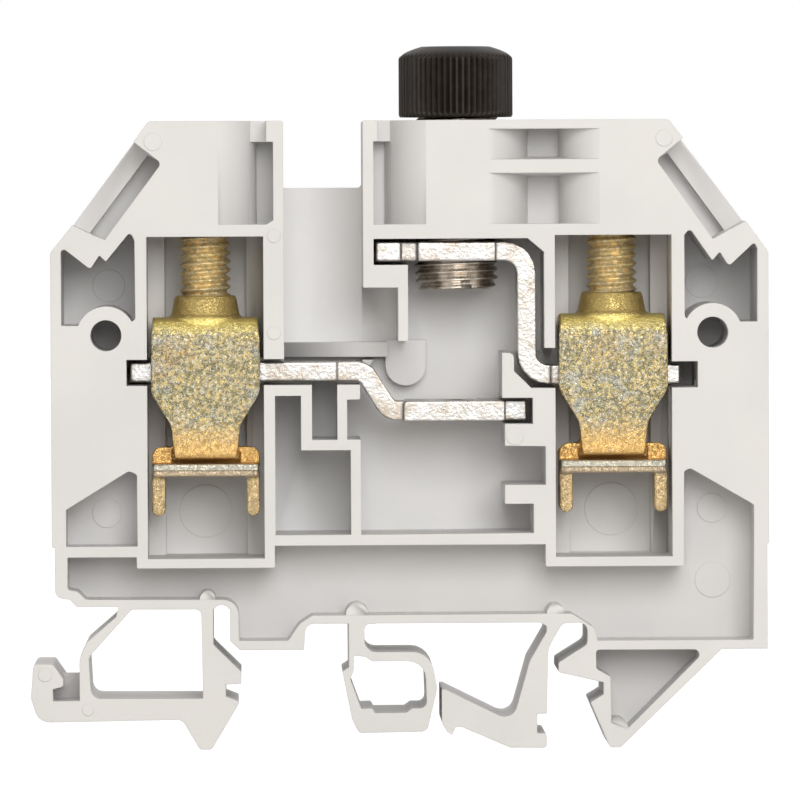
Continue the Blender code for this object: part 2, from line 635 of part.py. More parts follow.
def bar_right():
    """Tapped contact plate, upright leg and the run through the right clamp."""
    route = [
        (-2.17, BAR_TOP_Z), (BAR_LEG_X, BAR_TOP_Z), (BAR_LEG_X, BAR_RIGHT_Z), (26.25, BAR_RIGHT_Z),
    ]
    body = prism(strip_line(route, BAR_T, 2.0), BAR_FRONT, BAR_BACK, "current_bar_right")
    z0 = BAR_TOP_Z - BAR_T / 2
    z1 = BAR_TOP_Z + BAR_T / 2
    inner_end = TAP_END - 1.0
    add(body, prism(rounded([
        (-2.17, z0, 0.2), (inner_end, z0), (inner_end, z1), (-2.17, z1, 0.2),
    ]), TAP_FRONT, TAP_BACK))
    end = box_line(inner_end - 0.4, TAP_END, z0 + 0.01, z1 - 0.01)
    add(body, prism(end, BAR_FRONT + 0.2, TAP_BACK - 0.01))
    cut(body, prism(box_line(0.16, 1.75, z0 - 1.5, z1 + 1.5), 0.0, TAP_FRONT + 1.5))
    tap = SLEEVE_R + TAP_GAP
    cut(body, lathe(FUSE_X, FUSE_Y, [(tap, z0 - 1.5), (tap, z1 + 1.5)], steps=56))
    run = box_line(14.2, 26.25, BAR_RIGHT_Z - BAR_T / 2 - 0.01, BAR_RIGHT_Z + BAR_T / 2 - 0.03)
    add(body, prism(run, BAR_FRONT - 0.25, BAR_BACK + 0.25))
    return tidy(body)


def bar_left():
    """Run through the left clamp, joggle and the contact plate under the fuse."""
    route = [
        (-25.2, BAR_LEFT_Z), (-3.3, BAR_LEFT_Z), (-0.95, BAR_LOW_Z), (11.86, BAR_LOW_Z),
    ]
    body = prism(strip_line(route, BAR_T, 1.35), BAR_FRONT, BAR_BACK, "current_bar_left")
    z0 = BAR_LEFT_Z - BAR_T / 2
    z1 = BAR_LEFT_Z + BAR_T / 2
    add(body, prism(rounded([
        (-25.2, z0 + 0.02, 0.3), (-5.87, z0 + 0.02), (-5.87, z1 - 0.02), (-25.2, z1 - 0.02, 0.3),
    ]), BAR_FRONT - 0.25, BAR_BACK + 0.25))
    low = BAR_LOW_Z - BAR_T / 2
    high = BAR_LOW_Z + BAR_T / 2
    add(body, prism(rounded([
        (0.37, low - 0.03), (9.8, low - 0.03), (9.8, high + 0.03), (0.37, high + 0.03, 0.4),
    ]), 1.2, 9.9))
    cup = lathe(FUSE_X, FUSE_Y, [(1.6, high - 0.35), (2.3, high + 0.6)], steps=40)
    cut(body, cup)
    return tidy(body)


def fuse_knob():
    """Ribbed cap knob, hollow from below for the sleeve's flange."""
    levels = (
        (KNOB_LOW, 0.12, 0.0), (KNOB_LOW + 0.5, 0.0, 1.0), (KNOB_TOP - 1.25, 0.0, 1.0),
        (KNOB_TOP - 0.75, 0.35, 0.3), (KNOB_TOP - 0.62, 0.5, 0.0),
    )
    rings = []
    for z, inset, rib in levels:
        ring = []
        for k in range(KNOB_RIBS * 3):
            a = 2 * math.pi * k / (KNOB_RIBS * 3)
            phase = (0.0, 1.0, 1.0)[k % 3]
            r = KNOB_R - inset - KNOB_GROOVE * rib * (1.0 - phase)
            ring.append((FUSE_X + r * math.cos(a), FACE + FUSE_Y + r * math.sin(a), z))
        rings.append(ring)
    body = skin("fuse_cap_knob", rings)
    add(body, lathe(FUSE_X, FUSE_Y, [
        (KNOB_R - 0.7, KNOB_TOP - 1.2), (KNOB_R - 0.7, KNOB_TOP - 0.5), (KNOB_R - 1.3, KNOB_TOP - 0.25),
        (KNOB_R - 2.1, KNOB_TOP),
    ]))
    slot = box_line(FUSE_X - 7.0, FUSE_X + 7.0, KNOB_TOP - 0.9, KNOB_TOP + 1.0)
    cut(body, prism(slot, FUSE_Y - 0.6, FUSE_Y + 0.6))
    cut(body, lathe(FUSE_X, FUSE_Y, [
        (SLEEVE_R + TAP_GAP, KNOB_LOW - 1.0), (SLEEVE_R + TAP_GAP, KNOB_TOP - 2.0),
    ]))
    return tidy(body)


def fuse_sleeve():
    return tidy(pipe(FUSE_X, FUSE_Y, [
        (SLEEVE_BORE_R + 0.1, SLEEVE_LOW), (SLEEVE_R - 0.45, SLEEVE_LOW), (SLEEVE_R, SLEEVE_LOW + 0.4),
        (SLEEVE_R, KNOB_TOP - 2.45), (SLEEVE_R - 0.2, KNOB_TOP - 2.25), (0.6, KNOB_TOP - 2.25),
    ], [
        (SLEEVE_BORE_R, SLEEVE_LOW + 0.1), (SLEEVE_BORE_R, KNOB_TOP - 3.2), (0.6, KNOB_TOP - 3.2),
    ], "fuse_cap_sleeve"))


def fuse_spring():
    low = KNOB_TOP - 11.05
    high = KNOB_TOP - 3.5 - SPRING_WIRE
    turns = 5.5
    steps = int(turns * 15)
    rings = []
    for i in range(steps + 1):
        share = i / steps
        a = 2 * math.pi * turns * share
        rise = share + 0.055 * (math.sin(2 * math.pi * share) * -1)
        centre = Vector((SPRING_R * math.cos(a), SPRING_R * math.sin(a), 0.0))
        out = centre.normalized()
        ring = []
        for k in range(6):
            b = 2 * math.pi * k / 6
            p = centre + out * SPRING_WIRE * math.cos(b)
            z = low + (high - low) * rise + SPRING_WIRE * math.sin(b)
            ring.append((FUSE_X + p.x, FACE + FUSE_Y + p.y, z))
        rings.append(ring)
    return tidy(skin("fuse_cap_spring", rings))


def set_origin(body, x, depth, z):
    """Move the object's origin onto a joint axis without moving its shape."""
    point = Vector((x, FACE + depth, z)) * MM
    for vert in body.data.vertices:
        vert.co -= point
    body.location = point


def main():
    clear_scene()
    grey = (0.72, 0.71, 0.69)
    zinc = (0.66, 0.56, 0.30)
    nickel = (0.72, 0.68, 0.60)
    pieces = [(housing(), grey, 0.5, 0.0)]
    tip_left = BAR_LEFT_Z + BAR_T / 2 + 0.25
    tip_right = BAR_RIGHT_Z + BAR_T / 2 + 0.25
    sides = (("left", CLAMP_LEFT_X, tip_left, 0.0), ("right", CLAMP_RIGHT_X, tip_right, YOKE_RIGHT_LIFT))
    for side, x, tip, lift in sides:
        clamp = yoke("clamp_yoke_" + side, x)
        set_origin(clamp, x, CLAMP_Y, YOKE_TOP)
        clamp.location.z += lift * MM
        screw = clamp_screw("clamp_screw_" + side, x, tip)
        set_origin(screw, x, CLAMP_Y, HEAD_SEAT_Z)
        pieces.append((clamp, zinc, 0.35, 1.0))
        pieces.append((screw, zinc, 0.3, 1.0))
    pieces.append((bar_left(), nickel, 0.35, 1.0))
    pieces.append((bar_right(), nickel, 0.35, 1.0))
    knob = fuse_knob()
    sleeve = fuse_sleeve()
    spring = fuse_spring()
    for part in (knob, sleeve, spring):
        set_origin(part, FUSE_X, FUSE_Y, KNOB_LOW)
    pieces.append((knob, (0.015, 0.015, 0.016), 0.4, 0.0))
    pieces.append((sleeve, nickel, 0.3, 1.0))
    pieces.append((spring, (0.7, 0.7, 0.7), 0.3, 1.0))
    for body, colour, rough, metal in pieces:
        material(body, colour, rough, metal)


main()
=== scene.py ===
import bpy
import bmesh
import math
from mathutils import Matrix, Vector


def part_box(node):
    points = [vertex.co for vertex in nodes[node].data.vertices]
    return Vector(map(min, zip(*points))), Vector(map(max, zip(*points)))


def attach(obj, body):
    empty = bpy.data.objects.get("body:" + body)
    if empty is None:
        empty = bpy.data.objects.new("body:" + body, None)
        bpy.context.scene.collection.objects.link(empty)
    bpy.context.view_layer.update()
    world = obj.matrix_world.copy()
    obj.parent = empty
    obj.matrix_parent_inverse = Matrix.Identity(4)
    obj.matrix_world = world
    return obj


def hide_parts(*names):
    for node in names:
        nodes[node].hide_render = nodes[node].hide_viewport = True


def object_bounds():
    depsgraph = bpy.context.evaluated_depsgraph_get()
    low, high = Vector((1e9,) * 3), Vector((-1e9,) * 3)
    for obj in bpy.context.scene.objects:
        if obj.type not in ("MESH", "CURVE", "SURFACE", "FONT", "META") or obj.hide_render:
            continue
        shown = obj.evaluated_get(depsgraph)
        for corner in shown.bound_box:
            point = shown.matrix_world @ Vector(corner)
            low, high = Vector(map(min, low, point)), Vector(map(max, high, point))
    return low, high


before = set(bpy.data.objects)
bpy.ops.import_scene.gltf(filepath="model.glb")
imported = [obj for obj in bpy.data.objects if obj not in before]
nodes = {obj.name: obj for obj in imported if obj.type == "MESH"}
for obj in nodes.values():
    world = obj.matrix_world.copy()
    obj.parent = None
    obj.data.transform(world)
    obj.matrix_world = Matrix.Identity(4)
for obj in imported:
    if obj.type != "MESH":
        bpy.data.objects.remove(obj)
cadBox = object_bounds()
mm = 0.001
joinWithin = 0.0005 * mm
faceY = cadBox[0].y  # the open side of the block
print("frame loaded with", len(nodes), "solids")


class Link:
    # an output socket; arithmetic on it adds Math nodes to its tree
    def __init__(self, graph, socket):
        self.graph = graph
        self.socket = socket

    def other(self, name):
        return Link(self.graph, self.socket.node.outputs[name])

    def calc(self, operation, *items):
        return self.graph.add("ShaderNodeMath", {"operation": operation}, dict(enumerate(items)))

    def __add__(self, item):
        return self.calc("ADD", self, item)

    def __radd__(self, item):
        return self.calc("ADD", item, self)

    def __sub__(self, item):
        return self.calc("SUBTRACT", self, item)

    def __rsub__(self, item):
        return self.calc("SUBTRACT", item, self)

    def __mul__(self, item):
        return self.calc("MULTIPLY", self, item)

    def __truediv__(self, item):
        return self.calc("DIVIDE", self, item)

    def __gt__(self, item):
        return self.calc("GREATER_THAN", self, item)

    def __lt__(self, item):
        return self.calc("LESS_THAN", self, item)

    def __abs__(self):
        return self.calc("ABSOLUTE", self)

    def sine(self):
        return self.calc("SINE", self)

    def cosine(self):
        return self.calc("COSINE", self)

    def fraction(self):
        return self.calc("FRACT", self)

    def power(self, item):
        return self.calc("POWER", self, item)

    def ramp(self, low, high):
        # 0 at low, 1 at high, straight between and flat beyond
        return self.graph.add(
            "ShaderNodeMapRange", {"clamp": True}, {"Value": self, "From Min": low, "From Max": high}
        )


def inputOf(node, name):
    # by number, by identifier, or else by its shown name
    if isinstance(name, int):
        return node.inputs[name]
    for socket in node.inputs:
        if socket.identifier == name:
            return socket
    return node.inputs[name]


class Graph:
    def __init__(self, tree):
        self.tree = tree

    def add(self, kind, settings=None, inputs=None, out=0):
        node = self.tree.nodes.new(kind)
        for name, value in (settings or {}).items():
            setattr(node, name, value)
        for name, value in (inputs or {}).items():
            socket = inputOf(node, name)
            if isinstance(value, Link):
                self.tree.links.new(value.socket, socket)
            elif value is not None:
                socket.default_value = value
        return Link(self, node.outputs[out]) if len(node.outputs) else None


def blendColour(graph, share, first, second):
    colours = {"Factor_Float": share}
    for name, colour in (("A_Color", first), ("B_Color", second)):
        colours[name] = colour if isinstance(colour, Link) else (*colour, 1.0)
    return graph.add("ShaderNodeMix", {"data_type": "RGBA"}, colours, out=2)


def noise(graph, place, size, detail, rough, seed):
    return graph.add(
        "ShaderNodeTexNoise", {"noise_dimensions": "4D"},
        {"Vector": place, "W": seed, "Scale": 1.0 / size, "Detail": detail, "Roughness": rough},
    )


def newMaterial(name):
    made = bpy.data.materials.new(name)
    made.use_nodes = True
    made.node_tree.nodes.clear()
    return made, Graph(made.node_tree)


def finishMaterial(graph, shader):
    graph.add("ShaderNodeOutputMaterial", None, {"Surface": shader})


def warped(graph, place, size, reach, seed):
    # the place, pushed about by a noise of its own
    push = graph.add(
        "ShaderNodeTexNoise", {"noise_dimensions": "4D"},
        {"Vector": place, "W": seed, "Scale": 1.0 / size, "Detail": 2.0}, out="Color",
    )
    around = graph.add("ShaderNodeVectorMath", {"operation": "SUBTRACT"}, {0: push, 1: (0.5, 0.5, 0.5)})
    scaled = graph.add("ShaderNodeVectorMath", {"operation": "SCALE"}, {0: around, "Scale": reach})
    return graph.add("ShaderNodeVectorMath", {"operation": "ADD"}, {0: place, 1: scaled})


def cells(graph, place, size):
    # how far a point lies from the border of its cell, in cell sizes
    return graph.add(
        "ShaderNodeTexVoronoi", {"feature": "DISTANCE_TO_EDGE"}, {"Vector": place, "Scale": 1.0 / size},
    )


plasticLook = {
    "face": (0.650, 0.636, 0.612),
    # painted shade: a darker, cooler colour for everything deeper than faceDepth
    "deep": (0.630, 0.620, 0.610),
    # painted light: the deepest recess floors are made lighter than the face, over the depths given below
    "floor": (0.720, 0.712, 0.702),
    "cloudShade": (0.94, 0.945, 0.95),
    "speck": (0.50, 0.49, 0.48),
    "speckShare": 0.22,
    "speckSize": 0.45 * mm,
    "faceDepth": 0.5 * mm,
    "floorLightDepth": (5.6 * mm, 10.5 * mm),
    "cloudSize": 9.0 * mm,
    "smearSize": 1.9 * mm,
    "roughness": 0.55,
    "grainSize": 0.16 * mm,
    "grainHeight": 0.006 * mm,
    "edgeRadius": 0.13 * mm,
}


def plasticMaterial(look):
    made, graph = newMaterial("greyMoulding")
    place = graph.add("ShaderNodeTexCoord", out="Object")
    depth = graph.add("ShaderNodeSeparateXYZ", None, {0: place}, out="Y")
    cloud = noise(graph, place, look["cloudSize"], 3.0, 0.55, 1.0)
    fine = noise(graph, place, look["grainSize"], 2.0, 0.6, 2.0)
    smear = noise(graph, place, look["smearSize"], 3.0, 0.6, 3.0)
    # painted shade: just behind the front face the colour turns darker and cooler, in every recess
    colour = blendColour(graph, depth.ramp(faceY, faceY + look["faceDepth"]), look["face"], look["deep"])
    # painted light: from 5.6 to 10.5 mm deep the colour turns lighter again, making up for the light that
    # the recess walls keep off
    low, high = look["floorLightDepth"]
    colour = blendColour(graph, depth.ramp(faceY + low, faceY + high), colour, look["floor"])
    shade = blendColour(graph, cloud.ramp(0.35, 0.68), (1, 1, 1), look["cloudShade"])
    colour = graph.add(
        "ShaderNodeMix", {"data_type": "RGBA", "blend_type": "MULTIPLY"},
        {"Factor_Float": 1.0, "A_Color": colour, "B_Color": shade}, out=2,
    )
    speck = noise(graph, place, look["speckSize"], 2.0, 0.7, 4.0).ramp(0.70, 0.76)
    colour = blendColour(graph, speck * look["speckShare"], colour, look["speck"])
    edge = graph.add("ShaderNodeBevel", {"samples": 6}, {"Radius": look["edgeRadius"]})
    bump = graph.add("ShaderNodeBump", None, {
        "Height": fine + smear * 0.7, "Distance": look["grainHeight"], "Strength": 1.0, "Normal": edge,
    })
    shader = graph.add("ShaderNodeBsdfPrincipled", None, {
        "Base Color": colour,
        "Roughness": look["roughness"] + (smear - 0.5) * 0.12,
        "IOR": 1.5,
        "Specular IOR Level": 0.3,
        "Normal": bump,
    })
    finishMaterial(graph, shader)
    return made


zincLook = {
    "gold": (0.48, 0.355, 0.13),
    "olive": (0.24, 0.208, 0.095),
    "silver": (0.60, 0.58, 0.49),
    "blue": (0.33, 0.355, 0.345),
    "orange": (0.42, 0.24, 0.08),
    "pit": (0.085, 0.065, 0.028),
    "cell": 0.24 * mm,
    "warpSize": 0.35 * mm,
    "warpReach": 0.30 * mm,
    "broadSize": 2.2 * mm,
    "coolSize": 1.5 * mm,
    "patchSize": 0.42 * mm,
    "fleckSize": 0.17 * mm,
    "relief": 0.045 * mm,
    "roughness": 0.36,
    "edgeRadius": 0.12 * mm,
}

# where a yoke changes colour, as heights above its plate's underside
zoneLook = {
    "leg": (-0.05 * mm, -0.35 * mm),
    "legTint": (0.64, 0.46, 0.24),
    "plate": 1.2 * mm,
    "plateFront": 1.1 * mm,
    "seam": 0.56 * mm,
    "plateLow": (0.56, 0.44, 0.31),
    "plateHigh": (0.58, 0.56, 0.48),
    "neck": (5.2 * mm, 2.6 * mm),
    "neckTint": (0.80, 0.485, 0.16),
    # painted highlight: a bright yellow band over the heights of the roof's fold
    "roof": (13.2 * mm, 14.3 * mm),
    "foldHighlight": (0.98, 0.80, 0.26),
    "collar": (14.6 * mm, 15.0 * mm),
    "collarTint": (0.44, 0.32, 0.12),
}


def yokeZones(graph, look, pit, place, fleck, colour, plateLow):
    # the colour with the tints of the neck, collar, legs and plate, and a painted highlight along the
    # roof's fold
    apart = graph.add("ShaderNodeSeparateXYZ", None, {0: place}, out="Z")
    height = apart - plateLow
    neck = height.ramp(*look["neck"]) * (height > look["plate"])
    colour = blendColour(graph, neck * 0.8, colour, look["neckTint"])
    # painted highlight along the top fold; the collar tint above ends it
    colour = blendColour(graph, height.ramp(*look["roof"]) * 0.85, colour, look["foldHighlight"])
    colour = blendColour(graph, height.ramp(*look["collar"]) * 0.9, colour, look["collarTint"])
    colour = blendColour(graph, height.ramp(*look["leg"]) * 0.7, colour, look["legTint"])
    front = apart.other("Y") < (faceY + look["plateFront"])
    onPlate = front * (height < look["plate"] + 0.02 * mm) * (height > look["leg"][0])
    ragged = height + (fleck - 0.5) * 0.16 * mm
    upper = ragged.ramp(look["seam"] - 0.04 * mm, look["seam"] + 0.06 * mm)
    stripes = blendColour(graph, upper, look["plateLow"], look["plateHigh"])
    colour = blendColour(graph, onPlate * 0.75, colour, stripes)
    line = (1.0 - abs(ragged - look["seam"]).ramp(0.02 * mm, 0.09 * mm)) * onPlate
    return blendColour(graph, line * 0.7, colour, pit)


def zincMaterial(look, name, plateLow=None):
    # yellow zinc with its crystal flowers; plateLow is the height of a yoke plate's underside
    made, graph = newMaterial(name)
    place = graph.add("ShaderNodeTexCoord", out="Object")
    loose = warped(graph, place, look["warpSize"], look["warpReach"], 7.0)
    border = cells(graph, loose, look["cell"])
    small = cells(graph, loose, look["cell"] * 0.45)
    broad = noise(graph, place, look["broadSize"], 2.0, 0.5, 1.0)
    patch = noise(graph, loose, look["patchSize"], 3.0, 0.7, 2.0)
    fleck = noise(graph, loose, look["fleckSize"], 3.0, 0.7, 3.0)
    cool = noise(graph, place, look["coolSize"], 2.0, 0.6, 5.0)
    colour = blendColour(graph, patch.ramp(0.43, 0.56), look["gold"], look["olive"])
    colour = blendColour(graph, broad.ramp(0.52, 0.72) * 0.5, colour, look["orange"])
    colour = blendColour(graph, cool.ramp(0.54, 0.68) * 0.6, colour, look["blue"])
    vein = (1.0 - border.ramp(0.02, 0.16)) * fleck.ramp(0.36, 0.52)
    colour = blendColour(graph, vein * 0.9, colour, look["silver"])
    colour = blendColour(graph, fleck.ramp(0.60, 0.70) * 0.8, colour, look["silver"])
    pit = (1.0 - small.ramp(0.0, 0.10)) * patch.ramp(0.42, 0.60)
    colour = blendColour(graph, pit * 0.7, colour, look["pit"])
    if plateLow is not None:
        colour = yokeZones(graph, zoneLook, look["pit"], place, fleck, colour, plateLow)
    edge = graph.add("ShaderNodeBevel", {"samples": 4}, {"Radius": look["edgeRadius"]})
    bump = graph.add("ShaderNodeBump", None, {
        "Height": vein * 0.6 + fleck * 0.8 - pit * 0.5, "Distance": look["relief"], "Strength": 1.0,
        "Normal": edge,
    })
    shader = graph.add("ShaderNodeBsdfPrincipled", None, {
        "Base Color": colour,
        "Metallic": 1.0,
        "Roughness": look["roughness"] + (fleck - 0.5) * 0.3,
        "Normal": bump,
    })
    finishMaterial(graph, shader)
    return made


nickelLook = {
    "colour": (0.49, 0.48, 0.47),
    "shade": (0.35, 0.305, 0.25),
    "pit": (0.20, 0.17, 0.13),
    "roughness": 0.33,
    "pebble": 0.30 * mm,
    "pebbleHeight": 0.045 * mm,
    "grainSize": 0.08 * mm,
    "cloudSize": 1.6 * mm,
    "pitSize": 0.2 * mm,
    "edgeRadius": 0.18 * mm,
}


def nickelMaterial(look, name):
    made, graph = newMaterial(name)
    place = graph.add("ShaderNodeTexCoord", out="Object")
    pebble = noise(graph, place, look["pebble"], 2.0, 0.5, 1.0)
    fine = noise(graph, place, look["grainSize"], 2.0, 0.6, 2.0)
    cloud = noise(graph, place, look["cloudSize"], 3.0, 0.6, 3.0)
    colour = blendColour(graph, cloud.ramp(0.38, 0.66), look["colour"], look["shade"])
    pit = noise(graph, place, look["pitSize"], 2.0, 0.6, 6.0).ramp(0.64, 0.74)
    colour = blendColour(graph, pit * 0.5, colour, look["pit"])
    edge = graph.add("ShaderNodeBevel", {"samples": 4}, {"Radius": look["edgeRadius"]})
    bump = graph.add("ShaderNodeBump", None, {
        "Height": pebble + fine * 0.25, "Distance": look["pebbleHeight"], "Strength": 1.0, "Normal": edge,
    })
    shader = graph.add("ShaderNodeBsdfPrincipled", None, {
        "Base Color": colour,
        "Metallic": 1.0,
        "Roughness": look["roughness"] + (fine - 0.5) * 0.22,
        "Normal": bump,
    })
    finishMaterial(graph, shader)
    return made


knobLook = {
    "colour": (0.014, 0.010, 0.007),
    "worn": (0.027, 0.020, 0.015),
    "roughness": 0.42,
    "grainSize": 0.12 * mm,
    "grainHeight": 0.006 * mm,
    "smearSize": 1.2 * mm,
}


def knobMaterial(look):
    made, graph = newMaterial("blackMoulding")
    place = graph.add("ShaderNodeTexCoord", out="Object")
    fine = noise(graph, place, look["grainSize"], 2.0, 0.6, 1.0)
    smear = noise(graph, place, look["smearSize"], 3.0, 0.6, 2.0)
    colour = blendColour(graph, smear.ramp(0.45, 0.75), look["colour"], look["worn"])
    bump = graph.add("ShaderNodeBump", None, {
        "Height": fine, "Distance": look["grainHeight"], "Strength": 1.0,
    })
    shader = graph.add("ShaderNodeBsdfPrincipled", None, {
        "Base Color": colour,
        "Roughness": look["roughness"] + (smear - 0.5) * 0.2,
        "IOR": 1.5,
        "Specular IOR Level": 0.16,
        "Normal": bump,
    })
    finishMaterial(graph, shader)
    return made


greyPlastic = plasticMaterial(plasticLook)
screwZincLook = dict(
    zincLook, gold=(0.86, 0.61, 0.235), olive=(0.54, 0.43, 0.18), silver=(0.82, 0.76, 0.60),
    blue=(0.50, 0.49, 0.40),
)
screwZinc = zincMaterial(screwZincLook, "yellowZincScrew")
platedBar = nickelMaterial(nickelLook, "platedBar")
threadLook = dict(nickelLook, pebbleHeight=0.008 * mm, roughness=0.26, colour=(0.67, 0.61, 0.54))
platedThread = nickelMaterial(threadLook, "platedThread")
blackPlastic = knobMaterial(knobLook)
print("materials ready")


def link(obj):
    bpy.context.scene.collection.objects.link(obj)
    return obj


def objectFrom(mesh, name):
    # a new object with the bmesh's faces; the bmesh is freed
    data = bpy.data.meshes.new(name)
    mesh.to_mesh(data)
    mesh.free()
    return link(bpy.data.objects.new(name, data))


def smoothByAngle(data, degrees):
    data.shade_smooth()
    data.set_sharp_from_angle(angle=math.radians(degrees))


def flatFacesFlat(obj, degrees):
    # smooth on the curves, and big flat faces keep their own normals
    smoothByAngle(obj.data, degrees)
    step = obj.modifiers.new("normals", "WEIGHTED_NORMAL")
    step.weight = 60
    step.keep_sharp = True
    return settle(obj)


def dress(obj, material):
    obj.data.materials.clear()
    obj.data.materials.append(material)
    return obj


def copyOf(node, name):
    # a joined-up copy of a CAD solid
    mesh = bmesh.new()
    mesh.from_mesh(nodes[node].data)
    bmesh.ops.remove_doubles(mesh, verts=mesh.verts, dist=joinWithin)
    bmesh.ops.dissolve_degenerate(mesh, edges=mesh.edges, dist=joinWithin)
    bmesh.ops.dissolve_limit(mesh, angle_limit=math.radians(0.2), verts=mesh.verts, edges=mesh.edges)
    return objectFrom(mesh, name)


def settle(obj):
    # turns what the modifiers make into the plain mesh
    depsgraph = bpy.context.evaluated_depsgraph_get()
    depsgraph.update()
    data = bpy.data.meshes.new_from_object(obj.evaluated_get(depsgraph))
    obj.modifiers.clear()
    old = obj.data
    obj.data = data
    data.name = obj.name
    bpy.data.meshes.remove(old)
    return obj


def install(obj, body, slot, *replaced):
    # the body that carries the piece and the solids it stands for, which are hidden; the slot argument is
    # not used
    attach(obj, body)
    if replaced:
        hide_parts(*replaced)
    return obj


def gridTree(name, floats, shape):
    # a tree that bends a grid into a closed turned shape about the z axis
    tree = bpy.data.node_groups.new(name, "GeometryNodeTree")
    tree.is_modifier = True
    for label in floats:
        tree.interface.new_socket(label, in_out="INPUT", socket_type="NodeSocketFloat")
    for label in ("Around", "Rows"):
        tree.interface.new_socket(label, in_out="INPUT", socket_type="NodeSocketInt")
    tree.interface.new_socket("Finish", in_out="INPUT", socket_type="NodeSocketMaterial")
    tree.interface.new_socket("Geometry", in_out="OUTPUT", socket_type="NodeSocketGeometry")
    graph = Graph(tree)
    given = graph.add("NodeGroupInput")
    around, rows = given.other("Around"), given.other("Rows")
    grid = graph.add("GeometryNodeMeshGrid", None, {
        "Size X": 1.0, "Size Y": 1.0, "Vertices X": around + 1.0, "Vertices Y": rows,
    })
    point = graph.add("GeometryNodeInputPosition")
    apart = graph.add("ShaderNodeSeparateXYZ", None, {0: point}, out="X")
    turn = apart + 0.5
    row = (apart.other("Y") + 0.5) * (rows - 1.0)
    inner = graph.add("ShaderNodeClamp", None, {"Value": row - 1.0, "Min": 0.0, "Max": rows - 3.0})
    between = (row > 0.5) * (row < (rows - 1.5))
    along = inner / (rows - 3.0)
    radius, height = shape(given, turn, along)
    radius = radius * between  # the first and last rows close to a point
    angle = turn * (2.0 * math.pi)
    spot = graph.add("ShaderNodeCombineXYZ", None, {
        "X": radius * angle.cosine(), "Y": radius * angle.sine(), "Z": height,
    })
    bent = graph.add("GeometryNodeSetPosition", None, {"Geometry": grid, "Position": spot})
    joined = graph.add("GeometryNodeMergeByDistance", None, {"Geometry": bent, "Distance": joinWithin})
    real = graph.add("GeometryNodeRealizeInstances", None, {"Geometry": joined})
    final = graph.add("GeometryNodeSetMaterial", None, {
        "Geometry": real, "Material": given.other("Finish"),
    })
    graph.add("NodeGroupOutput", None, {"Geometry": final})
    return tree


def grow(name, tree, values, at):
    # runs a tree on an empty mesh and puts the result at a point
    obj = link(bpy.data.objects.new(name, bpy.data.meshes.new(name)))
    step = obj.modifiers.new("shape", "NODES")
    step.node_group = tree
    for item in tree.interface.items_tree:
        if item.in_out == "INPUT" and item.name in values:
            step[item.identifier] = values[item.name]
    settle(obj)
    obj.data.transform(Matrix.Translation(at))
    return obj


# the share of a turn that the flanks take, and the length of the tapered start
threadForm = {"flank": (0.10, 0.86), "start": 1.0 * mm}


def threadShape(given, turn, along):
    height = along * given.other("Length")
    phase = (height / given.other("Pitch") - turn).fraction()
    crest = (1.0 - abs(phase * 2.0 - 1.0)).ramp(*threadForm["flank"])
    tip = given.other("Tip")
    start = height.ramp(0.0, threadForm["start"])
    lead = tip * (1.0 - start)
    radius = given.other("Radius") - given.other("Depth") * (1.0 - crest) - lead
    return radius, height


threadTree = gridTree("threadedRod", ("Length", "Pitch", "Radius", "Depth", "Tip"), threadShape)


def cutBy(obj, *tools):
    # takes the tools' shapes out of the mesh
    for tool in tools:
        step = obj.modifiers.new("cut", "BOOLEAN")
        step.operation = "DIFFERENCE"
        step.solver = "EXACT"
        step.object = tool
    settle(obj)
    for tool in tools:
        bpy.data.objects.remove(tool, do_unlink=True)
    return obj


def topOf(node, name, height):
    # the part of a solid above a height, closed below
    obj = copyOf(node, name)
    mesh = bmesh.new()
    mesh.from_mesh(obj.data)
    geometry = mesh.verts[:] + mesh.edges[:] + mesh.faces[:]
    bmesh.ops.bisect_plane(
        mesh, geom=geometry, plane_co=(0, 0, height), plane_no=(0, 0, 1), clear_inner=True,
    )
    bmesh.ops.holes_fill(mesh, edges=[edge for edge in mesh.edges if edge.is_boundary], sides=0)
    mesh.to_mesh(obj.data)
    mesh.free()
    return obj


def boxAt(name, low, high):
    mesh = bmesh.new()
    bmesh.ops.create_cube(mesh, size=1.0)
    for vert in mesh.verts:
        vert.co = Vector((
            low[axis] + (vert.co[axis] + 0.5) * (high[axis] - low[axis]) for axis in range(3)
        ))
    return objectFrom(mesh, name)


def joinInto(main, *others):
    # adds the others' faces to the main mesh
    mesh = bmesh.new()
    mesh.from_mesh(main.data)
    for other in others:
        mesh.from_mesh(other.data)
    mesh.to_mesh(main.data)
    mesh.free()
    for other in others:
        bpy.data.objects.remove(other, do_unlink=True)
    return main


def turned(name, profile, at, steps=64):
    # body of revolution about z through at, from (radius, height) pairs going up
    mesh = bmesh.new()
    rings = []
    for radius, height in profile:
        if radius <= 0.0:
            rings.append([mesh.verts.new((at.x, at.y, height))])
            continue
        ring = []
        for step in range(steps):
            angle = 2.0 * math.pi * step / steps
            ring.append(mesh.verts.new((
                at.x + radius * math.cos(angle), at.y + radius * math.sin(angle), height,
            )))
        rings.append(ring)
    for low, high in zip(rings, rings[1:]):
        for step in range(steps):
            after = (step + 1) % steps
            if len(low) == 1:
                mesh.faces.new((low[0], high[after], high[step]))
            elif len(high) == 1:
                mesh.faces.new((low[step], low[after], high[0]))
            else:
                mesh.faces.new((low[step], low[after], high[after], high[step]))
    bmesh.ops.recalc_face_normals(mesh, faces=mesh.faces)
    return objectFrom(mesh, name)


def boreTool(at, radius, low, high):
    # a round tool from below low up to high
    under = low - 1.0 * mm
    return turned("bore", [(0.0, under), (radius, under), (radius, high), (0.0, high)], at)


block = copyOf("housing", "blockMoulding")
flatFacesFlat(block, 24.0)
dress(block, greyPlastic)
install(block, "block", "housing", "housing")
print("block moulding done")


